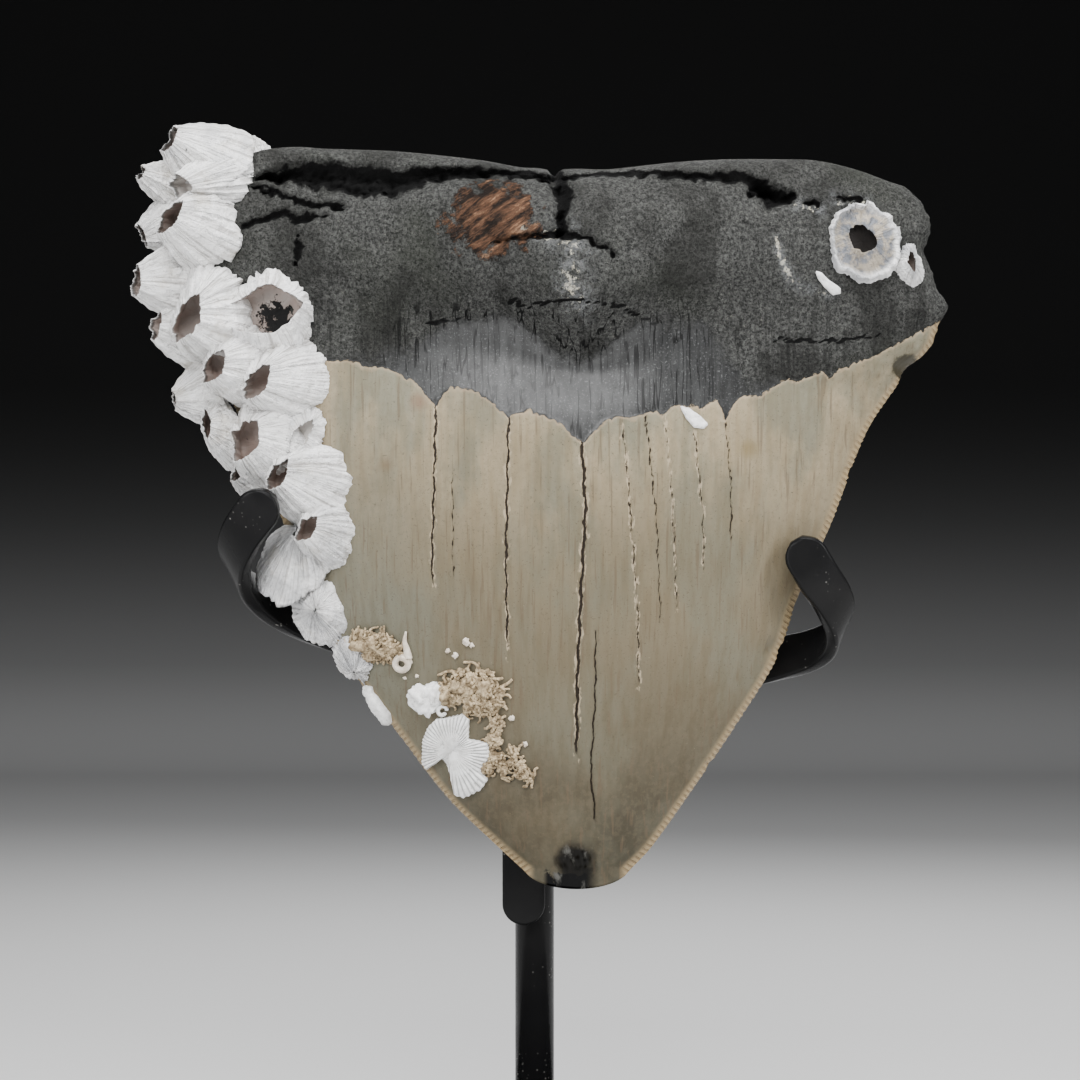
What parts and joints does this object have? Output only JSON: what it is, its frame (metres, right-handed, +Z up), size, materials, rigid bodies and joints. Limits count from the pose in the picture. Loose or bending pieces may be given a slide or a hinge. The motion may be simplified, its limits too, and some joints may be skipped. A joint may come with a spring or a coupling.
{
  "type": "fossil shark tooth on a stand",
  "caption": "Large triangular fossil shark tooth, root up, with acorn barnacles along one edge, held by two hooked straps on a rod with a round base.",
  "frame": {"origin": "centre of the round base's underside, on the surface that it stands on", "axes": "+Z up, -Y towards the viewer of the tooth's convex face, +X to the viewer's right"},
  "size_m": [0.1459, 0.096, 0.2031],
  "materials": {
    "fossil_tooth": "root in dark grey grainy bone, glossy dark band under it, crown in cracked warm grey-beige enamel",
    "barnacle_shell": "chalk white ribbed shell, pinkish brown and grey inside",
    "shell_plate": "white ridged shell plate",
    "worm_tube": "sandy tan crumbly crust",
    "black_steel": "satin black coat on steel"
  },
  "bodies": {
    "root": {"back_strap": "black_steel", "barnacle_back_lower": "barnacle_shell", "barnacle_back_middle": "barnacle_shell", "barnacle_back_upper": "barnacle_shell", "barnacle_broken": "barnacle_shell", "barnacle_corner": "barnacle_shell", "barnacle_large": "barnacle_shell", "barnacle_lower": "barnacle_shell", "barnacle_lowest": "barnacle_shell", "barnacle_middle": "barnacle_shell", "barnacle_pair_left": "barnacle_shell", "barnacle_pair_right": "barnacle_shell", "barnacle_ribbed": "barnacle_shell", "barnacle_rim_1": "barnacle_shell", "barnacle_rim_2": "barnacle_shell", "barnacle_rim_3": "barnacle_shell", "barnacle_rim_4": "barnacle_shell", "barnacle_rim_5": "barnacle_shell", "barnacle_ring": "barnacle_shell", "barnacle_ring_small": "barnacle_shell", "barnacle_shoulder": "barnacle_shell", "barnacle_side_mouth": "barnacle_shell", "barnacle_slit": "barnacle_shell", "barnacle_top_far": "barnacle_shell", "barnacle_top_large": "barnacle_shell", "barnacle_top_wedge": "barnacle_shell", "barnacle_under_prong": "barnacle_shell", "barnacle_worn": "barnacle_shell", "base": "black_steel", "coiled_worm_tube": "worm_tube", "prong_left": "black_steel", "prong_right": "black_steel", "rod": "black_steel", "shell_fan": "shell_plate", "shell_knob": "shell_plate", "tooth": "fossil_tooth", "tube_crust_lower": "worm_tube", "tube_crust_strand": "worm_tube", "tube_crust_tail": "worm_tube", "tube_crust_upper": "worm_tube"}
  },
  "joints": []
}
